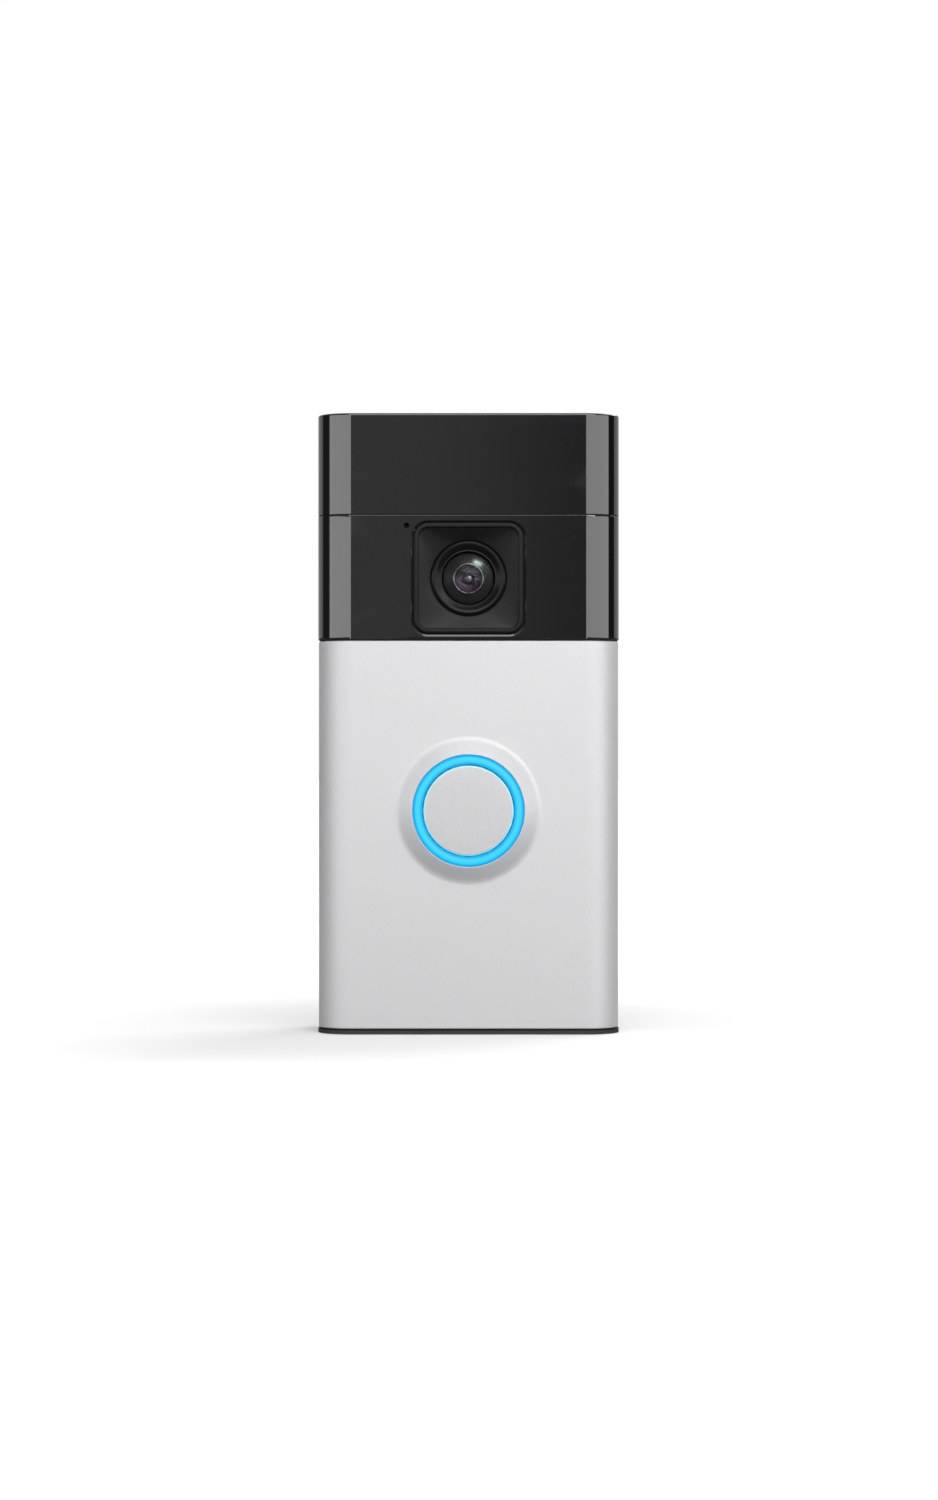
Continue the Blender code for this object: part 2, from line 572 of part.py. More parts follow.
def make_bracket():
    """The moulded plate that stays on the wall, with four hooks, four screw slots and a window."""
    thickness = (BRACKET_FACE, WALL)
    piece = plate("mounting_bracket", (-28.5, 28.5), thickness, (2.5, 124.5), 4.0, MATTE_BLACK)
    depth = (BRACKET_FACE - 1, WALL + 1)
    cut(piece, plate("window", (-21, 21), depth, (64, 97), 2.5))
    cut(piece, plate("clip_slot", (-4.2, 4.2), depth, (0, 20), 0.5))
    cut(piece, plate("clip_seat", (-4.2, 4.2), (BRACKET_FACE - 1, 12.9), (18, 26.6), 0.5))
    for side in (-22.5, 22.5):
        for height in (13.0, 114.0):
            slot = rounded(side - 2.0, side + 2.0, height - 3.4, height + 3.4, 1.95)
            cut(piece, prism("screw_slot", slot, "Y", *depth))
            seat = rounded(side - 3.9, side + 3.9, height - 5.1, height + 5.1, 3.85)
            cut(piece, prism("screw_seat", seat, "Y", BRACKET_FACE - 1, 12.4))
    cut(piece, disc("rivet_bore", 1.2, depth, z=23.5, steps=16))
    for side in HOOK_SIDES:
        for height in HOOK_HEIGHTS:
            hook = hook_outline(height, BRACKET_FACE + 0.8, 8.4, 0.0)
            join(piece, prism("hook", hook, "X", side - HOOK_HALF, side + HOOK_HALF))
    return piece


def make_release_clip():
    """The steel leaf whose barb catches the housing; its tail is reached from below."""
    front, back = 12.0, 12.6
    leaf = [(front, 3.0), (back, 3.0), (back, 26.2), (front, 26.2)]
    barb = [(front, 7.8), (10.0, 5.6), (10.0, 4.7), (front, 4.7)]
    clip = prism("release_clip", leaf + barb, "X", -3.5, 3.5, STEEL)
    cut(clip, disc("hole", 1.2, (11, 14), z=23.5, steps=16))
    rivet = [(0, 11.2), (2.0, 11.2), (2.0, 11.7), (0.9, 11.7), (0.9, 13.7), (0, 13.7)]
    turned("clip_rivet", rivet, STEEL, z=23.5, steps=16)


def main():
    clear_scene()
    make_faceplate()
    make_camera_fascia()
    make_sensor_cover()
    make_front_frame()
    housing = make_rear_housing()
    make_port_lugs(housing)
    make_gasket()
    make_housing_screws()
    make_camera_cover()
    make_lens_stack()
    make_night_board()
    make_motion_sensor()
    make_button()
    make_electronics()
    make_speaker()
    make_pocket_parts(housing)
    make_port_cover()
    make_bracket()
    make_release_clip()


main()
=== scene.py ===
import json

import bmesh
import bpy
import numpy as np
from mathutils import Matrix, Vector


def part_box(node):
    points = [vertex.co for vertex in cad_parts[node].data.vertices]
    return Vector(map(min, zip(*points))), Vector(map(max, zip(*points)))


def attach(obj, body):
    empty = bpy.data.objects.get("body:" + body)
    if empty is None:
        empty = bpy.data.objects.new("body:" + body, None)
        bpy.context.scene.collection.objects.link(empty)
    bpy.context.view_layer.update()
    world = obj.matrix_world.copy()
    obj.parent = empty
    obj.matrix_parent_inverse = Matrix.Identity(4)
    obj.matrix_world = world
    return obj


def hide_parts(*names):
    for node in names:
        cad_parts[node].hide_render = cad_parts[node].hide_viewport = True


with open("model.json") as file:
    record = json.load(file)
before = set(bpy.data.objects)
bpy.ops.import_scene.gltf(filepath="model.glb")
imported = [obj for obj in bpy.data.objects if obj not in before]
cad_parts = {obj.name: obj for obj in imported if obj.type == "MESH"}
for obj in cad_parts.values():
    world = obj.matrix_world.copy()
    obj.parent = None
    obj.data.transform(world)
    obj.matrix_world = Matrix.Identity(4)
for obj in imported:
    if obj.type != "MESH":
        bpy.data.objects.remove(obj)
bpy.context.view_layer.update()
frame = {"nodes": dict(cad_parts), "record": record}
nodes = frame["nodes"]

# ---------------------------------------------------------------------------------------------
# Faceplate. One thin satin silver shell that wraps the lower front and both sides, moulded with
# a raised flare round the button, then painted with a fine metallic flake. It snaps on the frame.
# ---------------------------------------------------------------------------------------------
MM = 0.001
SHELL_WALL = 1.4 * MM
CORNER_RADIUS = 6.85 * MM
EDGE_RADIUS = 0.30 * MM
SIDE_COUNT = 48
ARC_COUNT = 28
STRAIGHT_COUNT = 5
ARC_SHARE = 3
MERGE_DISTANCE = 0.0015 * MM
SHARP_ANGLE = np.radians(35)


def loop(half_width, half_height, corner, middle=0.0):
    """A rounded rectangle run round once from its lower left corner, as (x, z) points.

    Each side takes in half of the arc at either end, and an arc is a corner plus its radius
    times (sine, cosine) of an angle. An arc has ARC_SHARE times the points of a straight
    stretch of its length. With no straight stretch the outline is a circle.
    """
    outline = []
    for turn in range(4):
        straight = (half_width, half_height)[turn % 2] - corner
        outward = (half_height, half_width)[turn % 2] - corner
        bend = max(ARC_SHARE * corner * np.pi / 4, 1e-12)
        run = np.linspace(0, 2 * bend + 2 * straight, SIDE_COUNT + 1)[:-1]
        angle = np.clip(run / bend, 0, 1) - 1 + np.clip((run - bend - 2 * straight) / bend, 0, 1)
        along = np.clip(run - bend, 0, 2 * straight) - straight + corner * np.sin(angle * np.pi / 4)
        out = outward + corner * np.cos(angle * np.pi / 4)
        x, z = ((along, -out), (out, along), (-along, out), (-out, -along))[turn]
        outline.append(np.stack([x, z + middle], axis=-1))
    outline = np.concatenate(outline)
    return np.concatenate([outline, outline[:1]])


def at_depth(outline, y):
    """An (x, z) outline as points at one y."""
    return np.stack([outline[:, 0], np.full(len(outline), y), outline[:, 1]], axis=-1)


def circle(radius, y, z):
    """A circle about (0, z) as points at one y."""
    return at_depth(loop(radius, radius, radius, z), y)


def make_piece(name, patches, caps=()):
    """One closed object from grids of points, shape (rows, columns, 3), whose shared edges merge.

    Each cap is a flat face given by its points in order.
    """
    points = []
    faces = []
    start = 0
    for patch in patches:
        rows, columns = patch.shape[:2]
        index = start + np.arange(rows * columns).reshape(rows, columns)
        quads = np.stack([index[:-1, :-1], index[1:, :-1], index[1:, 1:], index[:-1, 1:]], axis=-1)
        faces += quads.reshape(-1, 4).tolist()
        points.append(patch.reshape(-1, 3))
        start += rows * columns
    for cap in caps:
        faces.append(list(range(start, start + len(cap))))
        points.append(cap)
        start += len(cap)
    mesh = bpy.data.meshes.new(name)
    mesh.from_pydata(np.concatenate(points), [], faces)
    bm = bmesh.new()
    bm.from_mesh(mesh)
    bmesh.ops.remove_doubles(bm, verts=bm.verts, dist=MERGE_DISTANCE)
    bmesh.ops.recalc_face_normals(bm, faces=bm.faces)
    bm.to_mesh(mesh)
    bm.free()
    mesh.shade_smooth()
    mesh.set_sharp_from_angle(angle=SHARP_ANGLE)
    made = bpy.data.objects.new(name, mesh)
    bpy.context.scene.collection.objects.link(made)
    weighted = made.modifiers.new("WeightedNormal", "WEIGHTED_NORMAL")
    weighted.keep_sharp = True
    return made


def wrapped(run, depth, half, front, radius):
    """(x, y) at a distance along the plan from its middle, depth inside the outer face.

    The plan is a flat front, an arc of the radius and a straight side. On the arc the point is
    the arc's centre plus (radius - depth) times (sine, -cosine) of the angle turned.
    """
    flat = half - radius
    turn = np.clip((np.abs(run) - flat) / radius, 0, np.pi / 2)
    straight = np.maximum(np.abs(run) - flat - radius * np.pi / 2, 0)
    x = np.minimum(np.abs(run), flat) + (radius - depth) * np.sin(turn)
    y = front + radius - (radius - depth) * np.cos(turn) + straight
    return np.sign(run) * x, y


def swept(run, depths, heights, half, front, radius):
    """A profile of (depth, height) points carried along the plan: rows of the profile, columns of run."""
    runs, depths = np.meshgrid(run, depths)
    heights = np.broadcast_to(np.asarray(heights)[:, None], runs.shape)
    x, y = wrapped(runs, depths, half, front, radius)
    return np.stack([x, y, heights], axis=-1)


def quarter(count=5):
    """Sine and 1 - cosine over a right angle, for a rounded edge."""
    angle = np.linspace(0, np.pi / 2, count)
    return np.sin(angle), 1 - np.cos(angle)


def side_run(half, front, back, radius):
    """Where along the plan the flat front ends, and the columns from there round to the back edge."""
    flat = half - radius
    bend = flat + radius * np.pi / 2
    end = bend + back - front - radius
    arc = np.linspace(flat, bend, ARC_COUNT + 1)[:-1]
    return flat, np.concatenate([arc, np.linspace(bend, end, STRAIGHT_COUNT)])


def wrapped_shell(low, high, half, front, back, radius, hole_rows, edge=EDGE_RADIUS, wall=SHELL_WALL):
    """Patches and caps of a shell that follows the plan from low to high, open at both ends.

    The flat front is a ring of rows from its inner face through the hole to its outer face, and
    the sides, the rims and the two back edges close it. A rim is a quarter round, then flat.
    """
    plan = (half, front, radius)
    flat, side = side_run(half, front, back, radius)
    middle = np.linspace(-flat, flat, SIDE_COUNT + 1)[1:-1]
    everywhere = np.concatenate([-side[::-1], middle, side])
    heights = np.linspace(low + edge, high - edge, SIDE_COUNT + 1)
    border = loop(flat, (high - low) / 2 - edge, 0.0, (high + low) / 2)
    rows = [at_depth(border, front + wall)] + hole_rows + [at_depth(border, front)]
    rise, inset = quarter()
    rim_depths = np.concatenate([edge * inset, [wall, wall]])
    rim_rise = np.concatenate([edge * rise, [edge, 0.0]])
    patches = [np.stack(rows)]
    caps = []
    for sign in (-1, 1):
        for depth in (0.0, wall):
            patches.append(swept(sign * side, np.full(len(heights), depth), heights, *plan))
    top = (rim_depths, high - edge + rim_rise)
    bottom = (rim_depths, low + edge - rim_rise)
    patches += [swept(everywhere, *top, *plan), swept(everywhere, *bottom, *plan)]
    outer = np.zeros(len(heights))
    inner = np.full(len(heights), wall)
    depths = np.concatenate([outer, top[0], inner, bottom[0][::-1]])
    levels = np.concatenate([heights, top[1], heights[::-1], bottom[1][::-1]])
    keep = np.ones(len(depths), bool)
    keep[1:] = np.hypot(np.diff(depths), np.diff(levels)) > 0.1 * MERGE_DISTANCE
    keep[-1] = False
    for sign in (-1, 1):
        caps.append(swept(sign * side[-1:], depths[keep], levels[keep], *plan)[:, 0])
    return patches, caps


class Field:
    """A number that varies over a surface: Python's operators on it add Math nodes."""

    def __init__(self, graph, socket):
        self.graph = graph
        self.socket = socket

    def maths(self, operation, first, second):
        """What a Math node makes of two numbers or Fields."""
        return self.graph.node("ShaderNodeMath", {"operation": operation}, {0: first, 1: second})

    def __add__(self, other):
        return self.maths("ADD", self, other)

    def __radd__(self, other):
        return self.maths("ADD", other, self)

    def __rsub__(self, other):
        return self.maths("SUBTRACT", other, self)

    def __mul__(self, other):
        return self.maths("MULTIPLY", self, other)

    def __rmul__(self, other):
        return self.maths("MULTIPLY", other, self)

    def __pow__(self, other):
        return self.maths("POWER", self, other)

    def largest(self, other):
        """The larger of two Fields."""
        return self.maths("MAXIMUM", self, other)


class Graph:
    """A node tree whose nodes all come from one method."""

    def __init__(self, tree):
        self.tree = tree

    def node(self, kind, settings, inputs, output=0):
        """Adds a node, sets it, then fills its sockets with values or links; gives one output."""
        made = self.tree.nodes.new(kind)
        for setting, value in settings.items():
            setattr(made, setting, value)
        for socket, value in inputs.items():
            if isinstance(value, Field):
                self.tree.links.new(value.socket, made.inputs[socket])
            else:
                made.inputs[socket].default_value = value
        return Field(self, made.outputs[output])

    def between(self, low, high, value, start=0.0, end=1.0):
        """Start below low, end above high, smooth between them."""
        inputs = {"Value": value, "From Min": low, "From Max": high, "To Min": start, "To Max": end}
        return self.node("ShaderNodeMapRange", {"interpolation_type": "SMOOTHSTEP"}, inputs)


class Finish(Graph):
    """A material with one Principled shader, whose plain values are set on its own sockets."""

    def __init__(self, name, color, **values):
        self.material = bpy.data.materials.new(name)
        self.material.use_nodes = True
        super().__init__(self.material.node_tree)
        self.shader = self.tree.nodes["Principled BSDF"]
        self.shader.inputs["Base Color"].default_value = (*color, 1.0)
        self.spot = self.node("ShaderNodeTexCoord", {}, {}, "Object")
        for socket, value in values.items():
            self.shader.inputs[socket.replace("_", " ").title().replace("Ior", "IOR")].default_value = value

    def place(self, shift=(0, 0, 0), stretch=(1, 1, 1)):
        """The point's place in the object's frame, in metres, moved and then stretched."""
        moved = self.node("ShaderNodeVectorMath", {"operation": "ADD"}, {0: self.spot, 1: shift})
        return self.node("ShaderNodeVectorMath", {"operation": "MULTIPLY"}, {0: moved, 1: stretch})

    def noise(self, scale, detail=2.0, **place):
        """Noise from about 0 to 1; scale is in waves per metre."""
        spot = self.place(**place)
        return self.node("ShaderNodeTexNoise", {}, {"Vector": spot, "Scale": scale, "Detail": detail})

    def blend(self, factor, first, second):
        """A colour from first to second, each a colour or a Field."""
        sides = {6: first if isinstance(first, Field) else (*first, 1.0)}
        sides[7] = second if isinstance(second, Field) else (*second, 1.0)
        return self.node("ShaderNodeMix", {"data_type": "RGBA"}, {0: factor, **sides}, 2)

    def distance(self, x, z):
        """Distance from the line through (x, z) along y, in metres."""
        spot = self.place(shift=(-x, 0, -z), stretch=(1, 0, 1))
        return self.node("ShaderNodeVectorMath", {"operation": "LENGTH"}, {0: spot}, "Value")

    def feed(self, socket, value):
        """Links a Field to one of the shader's sockets."""
        self.tree.links.new(value.socket, self.shader.inputs[socket])

    def glow(self, color):
        """Makes the surface send out a colour of its own."""
        self.feed("Emission Color", color)
        self.shader.inputs["Emission Strength"].default_value = 1.0

    def bump(self, height, depth):
        """Relief of the height field, whose 0 to 1 is depth metres."""
        inputs = {"Strength": 1.0, "Distance": depth, "Height": height}
        self.feed("Normal", self.node("ShaderNodeBump", {}, inputs))


# Radii of the painted blue ring light on the paint and of the painted highlight on the cap's chamfer.
PAINTED_RING_LIGHT_RISE = (7.4 * MM, 9.4 * MM)
PAINTED_RING_LIGHT_FALL = (11.6 * MM, 13.8 * MM)
PAINTED_CHAMFER_HIGHLIGHT_RISE = (8.88 * MM, 8.98 * MM)
PAINTED_CHAMFER_HIGHLIGHT_FALL = (9.3 * MM, 9.5 * MM)


def satin_silver():
    """Painted metallic silver: fine bright and dark flakes under a smooth satin coat.

    A faint blue glow near the lit ring is painted light that stands in for the ring's light on the paint,
    and a bright painted highlight lies on the cap's chamfer.
    """
    finish = Finish("satin_silver", (0.66, 0.66, 0.67), metallic=0.30, roughness=0.52)
    flake = finish.noise(9000, 1.0)
    cloud = finish.noise(90, 3.0)
    light = finish.blend(finish.between(0.35, 0.65, flake), (0.60, 0.60, 0.615), (0.72, 0.72, 0.725))
    finish.feed("Base Color", finish.blend(cloud * 0.25, light, (0.66, 0.66, 0.668)))
    finish.feed("Roughness", 0.48 + 0.06 * flake + 0.03 * cloud)
    radius = finish.distance(0.0, BUTTON_Z)
    # Painted light: blue emission near the ring, and a bright painted highlight on the cap's chamfer.
    painted_ring_light_mask = finish.between(*PAINTED_RING_LIGHT_RISE, radius) * (1 - finish.between(*PAINTED_RING_LIGHT_FALL, radius))
    chamfer = finish.between(*PAINTED_CHAMFER_HIGHLIGHT_RISE, radius) * (1 - finish.between(*PAINTED_CHAMFER_HIGHLIGHT_FALL, radius))
    glow = finish.blend(painted_ring_light_mask**2, (0, 0, 0), (0.0, 0.030, 0.080))
    finish.glow(finish.blend(chamfer, glow, (0.06, 0.42, 0.58)))
    finish.bump(finish.noise(5200, 2.0), 0.004 * MM)
    return finish


replaced_nodes = set()


def fit(made, finish, body, slot, *replaced):
    """Gives a piece its material and its body, and hides the CAD nodes it stands for; its slot is not used.
    """
    replaced_nodes.update(replaced)
    made.data.materials.clear()
    made.data.materials.append(finish.material)
    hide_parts(*replaced)
    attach(made, body)


plate_low, plate_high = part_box("faceplate")
ring_low, ring_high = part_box("light_ring")
BUTTON_Z = (ring_low[2] + ring_high[2]) / 2
silver = satin_silver()
PLATE_FRONT = -11.9 * MM
CREST = plate_low[1] + 0.05 * MM
FLARE_HOLE = 11.48 * MM
FLARE_FOOT = 15.35 * MM
FLARE_ROWS = 36
EASED_SHARE = 0.38
SUPPORT = 0.12 * MM
LIP_RADIUS = 0.10 * MM


def flare_rows():
    """The flare from its inner face out: bore, rounded lip, then a cone that eases into the plate.

    With e the eased share, its fall is t up to 1 - e, then 1 - e / 2 - (1 - t)^2 / 2e, all
    divided by 1 - e / 2.
    """
    rise, inset = quarter()
    rows = [circle(FLARE_HOLE, PLATE_FRONT + SHELL_WALL, BUTTON_Z)]
    for out, back in zip(LIP_RADIUS * inset, LIP_RADIUS * (1 - rise)):
        rows.append(circle(FLARE_HOLE + out, CREST + back, BUTTON_Z))
    start = FLARE_HOLE + LIP_RADIUS
    for t in np.linspace(0, 1, FLARE_ROWS + 1)[1:]:
        radius = start + (FLARE_FOOT - start) * t
        fall = t if t < 1 - EASED_SHARE else 1 - EASED_SHARE / 2 - (1 - t) ** 2 / (2 * EASED_SHARE)
        y = CREST + (PLATE_FRONT - CREST) * fall / (1 - EASED_SHARE / 2)
        rows.append(circle(radius, y, BUTTON_Z))
    return rows + [circle(FLARE_FOOT + SUPPORT, PLATE_FRONT, BUTTON_Z)]


patches, caps = wrapped_shell(
    plate_low[2], plate_high[2], plate_high[0], PLATE_FRONT, plate_high[1], CORNER_RADIUS, flare_rows()
)
faceplate = make_piece("faceplate_shell", patches, caps)
fit(faceplate, silver, "doorbell", "satin_silver", "faceplate")

# ---------------------------------------------------------------------------------------------
# Camera fascia. The lower half of the black head, injection moulded and polished to a mirror,
# with a rounded square window for the camera and a small bore in front of the microphone.
# ---------------------------------------------------------------------------------------------
fascia_low, fascia_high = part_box("camera_fascia")
cover_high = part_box("camera_cover")[1]
seal_low, seal_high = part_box("microphone_seal")
HEAD_FRONT = fascia_low[1]
HEAD_RADIUS = 7.0 * MM
COVER_HALF = 11.2 * MM
TALLER = 0.1 * MM
CAMERA_Z = cover_high[2] - COVER_HALF - TALLER
WINDOW_HALF = 11.55 * MM
WINDOW_CORNER = 3.3 * MM
WINDOW_CHAMFER = 0.21 * MM
CHAMFER_SLOPE = 1.08
CHAMFER_DROP = 0.13 * MM
SEAM_EDGE = 0.08 * MM
FASCIA_SHARP = 14.0
MICROPHONE_X = (seal_low[0] + seal_high[0]) / 2
MICROPHONE_Z = (seal_low[2] + seal_high[2]) / 2
MICROPHONE_BORE = 0.58 * MM
BORE_COUNT = 48


def polished_black():
    """Mirror-polished black plastic with a trace of dust and handling marks in its gloss."""
    finish = Finish("polished_black", (0.006, 0.006, 0.007), roughness=0.05, ior=1.8)
    smear = finish.noise(45, 4.0, stretch=(1, 1, 2.5))
    speck = finish.between(0.74, 0.80, finish.noise(2600, 1.0))
    finish.feed("Roughness", 0.035 + 0.05 * finish.between(0.45, 0.75, smear) + 0.12 * speck)
    finish.feed("Base Color", finish.blend(speck * 0.25, (0.006, 0.006, 0.007), (0.05, 0.05, 0.05)))
    return finish


def window_rows():
    """The window from its inner face out: straight wall, then a chamfer that faces forward.

    The chamfer's front outline sits a little lower, so that it is widest along the bottom.
    """
    outs = (0.0, 0.0, WINDOW_CHAMFER, WINDOW_CHAMFER + SUPPORT)
    backs = (SHELL_WALL, CHAMFER_SLOPE * WINDOW_CHAMFER, 0.0, 0.0)
    drops = (0.0, 0.0, CHAMFER_DROP, CHAMFER_DROP)
    rows = []
    for out, back, drop in zip(outs, backs, drops):
        half = WINDOW_HALF + out
        outline = loop(half, half + TALLER, WINDOW_CORNER + out, CAMERA_Z - drop)
        rows.append(at_depth(outline, HEAD_FRONT + back))
    return rows


def bore(made, radius, x, z, front, back):
    """Cuts a round hole along y through a flat face, with a tool turned as one closed grid."""
    turn = np.linspace(0, 2 * np.pi, BORE_COUNT + 1)
    rim = np.stack([x + radius * np.cos(turn), np.zeros(len(turn)), z + radius * np.sin(turn)], axis=-1)
    ends = [rim + (0, front, 0), rim + (0, back, 0)]
    tool = make_piece("bore_tool", [np.stack(ends)], [ends[0][:-1], ends[1][:-1]])
    tool.modifiers.clear()
    boolean = made.modifiers.new("Bore", "BOOLEAN")
    boolean.object = tool
    bpy.context.view_layer.objects.active = made
    bpy.ops.object.modifier_move_to_index(modifier=boolean.name, index=0)
    bpy.ops.object.modifier_apply(modifier=boolean.name)
    bpy.data.objects.remove(tool, do_unlink=True)


black = polished_black()
head = (fascia_high[0], HEAD_FRONT, fascia_high[1], HEAD_RADIUS)
patches, caps = wrapped_shell(fascia_low[2], fascia_high[2], *head, window_rows(), edge=SEAM_EDGE)
fascia = make_piece("camera_fascia_shell", patches, caps)
bore(fascia, MICROPHONE_BORE, MICROPHONE_X, MICROPHONE_Z, HEAD_FRONT - MM, HEAD_FRONT + 3 * MM)
fascia.data.set_sharp_from_angle(angle=np.radians(FASCIA_SHARP))
fit(fascia, black, "doorbell", "gloss_black", "camera_fascia")

# ---------------------------------------------------------------------------------------------
# Sensor cover. The upper half of the head, the same polished black, closed over the top with a
# small rounded edge. The motion sensor looks out through it.
# ---------------------------------------------------------------------------------------------
sensor_low, sensor_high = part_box("sensor_cover")
ROOF_EDGE = 0.40 * MM


def capped_shell(low, high, half, front, back, radius, edge, wall=SHELL_WALL, seam=SEAM_EDGE):
    """Patches and caps of a shell that follows the plan, closed by a flat roof with a rounded edge.

    Its profile goes from the inner face round the rounded seam and up to the roof's quarter
    round. The roof inside and out and the arch at the back are flat faces.
    """
    plan = (half, front, radius)
    flat, side = side_run(half, front, back, radius)
    run = np.concatenate([-side[::-1], np.linspace(-flat, flat, 9)[1:-1], side])
    rise, inset = quarter(7)
    small_rise, small_inset = quarter(3)
    seam_heights = low + seam - seam * small_rise[::-1]
    depths = np.concatenate([[wall, wall], seam * small_inset[::-1], edge * inset])
    heights = np.concatenate([[high - wall, low], seam_heights, high - edge + edge * rise])
    shell = swept(run, depths, heights, *plan)
    outside = shell[-1]
    inside = shell[0]
    left = shell[:, 0]
    right = shell[:, -1]
    arch = np.concatenate([left, right[::-1]])
    return [shell], [outside, inside, arch]


patches, caps = capped_shell(sensor_low[2], sensor_high[2], *head, ROOF_EDGE)
sensor_cover = make_piece("sensor_cover_shell", patches, caps)
fit(sensor_cover, black, "doorbell", "gloss_black", "sensor_cover")

# ---------------------------------------------------------------------------------------------
# Camera cover. The satin black square in the window: a raised rim, a recessed face with fine
# turning marks and a round bore for the lens. It is moulded, and held by a flange behind.
# ---------------------------------------------------------------------------------------------
COVER_CORNER = 3.0 * MM
COVER_BORE = 7.75 * MM
RIM_FRONT = -11.50 * MM
FACE_Y = -11.10 * MM
DISH = 0.58 * MM
RIM_WIDTH = 0.92 * MM
RIM_EDGE = 0.18 * MM
INNER_EDGE = 0.08 * MM
FACE_FILLET = 0.20 * MM
BORE_EDGE = 0.15 * MM
COVER_BACK = cover_high[1]
FLANGE = 0.55 * MM
FLANGE_FRONT = COVER_BACK - 0.7 * MM
FACE_ROWS = 8
TURNING_WAVES = 21000


def square_row(inset, y):
    """The cover's outline moved inwards, as points at one y."""
    corner = max(COVER_CORNER - inset, 0.2 * MM)
    return at_depth(loop(COVER_HALF - inset, COVER_HALF + TALLER - inset, corner, CAMERA_Z), y)


def cover_rows():
    """The cover's outlines from the flange over the rim, across the dished face and down the bore.

    A rounded edge is its radius times 1 - cosine inwards and 1 - sine back, over a right angle.
    The face goes in a straight line from the last square outline to the bore's circle.
    """
    rise, inset = quarter()
    inner_rise, inner_inset = quarter(4)
    squares = [(-FLANGE, COVER_BACK), (-FLANGE, FLANGE_FRONT)]
    squares += [(0.0, FLANGE_FRONT), (0.0, RIM_FRONT + RIM_EDGE)]
    squares += zip(RIM_EDGE * inset[1:], RIM_FRONT + RIM_EDGE * (1 - rise[1:]))
    squares += zip(RIM_WIDTH - INNER_EDGE * (1 - inner_rise), RIM_FRONT + INNER_EDGE * inner_inset)
    squares += zip(RIM_WIDTH + FACE_FILLET * inset, FACE_Y - FACE_FILLET * (1 - rise))
    rows = [square_row(*square) for square in squares]
    face_edge = rows[-1]
    lip = circle(COVER_BORE + BORE_EDGE, FACE_Y + DISH, CAMERA_Z)
    rows += [face_edge * (1 - t) + lip * t for t in np.linspace(0, 1, FACE_ROWS + 1)[1:]]
    for out, back in zip(BORE_EDGE * (1 - rise[1:]), BORE_EDGE * inset[1:]):
        rows.append(circle(COVER_BORE + out, FACE_Y + DISH + back, CAMERA_Z))
    rows.append(circle(COVER_BORE, COVER_BACK, CAMERA_Z))
    return rows + rows[:1]


def satin_black():
    """Satin moulded black with faint concentric turning marks round the lens."""
    finish = Finish("satin_black", (0.002, 0.002, 0.0022), roughness=0.32, ior=1.30)
    radius = finish.distance(0.0, CAMERA_Z)
    wobble = finish.noise(160, 2.0)
    phase = radius * TURNING_WAVES + wobble * 9
    marks = finish.node("ShaderNodeMath", {"operation": "SINE"}, {0: phase})
    grain = finish.noise(4200, 2.0)
    finish.feed("Roughness", 0.30 + 0.03 * marks + 0.10 * grain)
    finish.bump(grain * 0.8 + marks * 0.12, 0.006 * MM)
    finish.feed("Base Color", finish.blend(grain, (0.0015, 0.0015, 0.0017), (0.0035, 0.0035, 0.0038)))
    return finish


camera_cover = make_piece("camera_cover_face", [np.stack(cover_rows())])
fit(camera_cover, satin_black(), "doorbell", "satin_black", "camera_cover")

# ---------------------------------------------------------------------------------------------
# Lens. A satin hood ring stands in the bore, then the domed front glass, the black barrel, the
# violet-coated inner lens in its retaining ring, the stepped stop and the small rear element.
# All are turned parts, pressed or screwed into the barrel.
# ---------------------------------------------------------------------------------------------
TURN_COUNT = 128


def softened(profile, radius):
    """A profile of (radius, y) corners in mm, each rounded to a curve that starts radius from it.

    The curve is (1 - t)^2 of its start, 2t(1 - t) of the corner and t^2 of its end.
    """
    corners = np.asarray(profile, float)
    points = [corners[0]]
    for before, corner, after in zip(corners, corners[1:], corners[2:]):
        back = before - corner
        ahead = after - corner
        reach = min(radius, 0.45 * np.hypot(*back), 0.45 * np.hypot(*ahead))
        start = corner + back / np.hypot(*back) * reach
        end = corner + ahead / np.hypot(*ahead) * reach
        t = np.linspace(0, 1, 5)[:, None]
        points += list((1 - t) ** 2 * start + 2 * t * (1 - t) * corner + t**2 * end)
    points.append(corners[-1])
    return np.array(points)


def turned(name, profile, x=0.0, z=0.0, closed=True, count=TURN_COUNT):
    """A profile of (radius, y) points in mm turned about the y line through (x, z).

    A point is radius times (cosine, sine) of the angle turned. A closed profile is a ring's
    section; an open one starts and ends on the axis.
    """
    profile = np.asarray(profile, float) * MM
    if closed:
        profile = np.concatenate([profile, profile[:1]])
    angle = np.linspace(0, 2 * np.pi, count + 1)
    radius = profile[:, :1]
    height = np.broadcast_to(profile[:, 1:], (len(profile), count + 1))
    points = np.stack([x + radius * np.cos(angle), height, z + radius * np.sin(angle)], axis=-1)
    return make_piece(name, [points])


def dome(radius, crown, rise, thickness):
    """An open profile in mm: a spherical face that falls by rise from its crown, and its back.

    With R = (radius^2 + rise^2) / 2 rise, the face is at crown + R - sqrt(R^2 - r^2). The back
    is the same curve, a thickness behind.
    """
    ball = (radius**2 + rise**2) / (2 * rise)
    out = np.linspace(0, radius, 25)
    face = np.stack([out, crown + ball - np.sqrt(ball**2 - out**2)], -1)
    return np.concatenate([face, face[::-1] + (0, thickness)])


def scaled(color, factor):
    """A colour times a factor, at most white."""
    return [min(1.0, factor * c) for c in color]


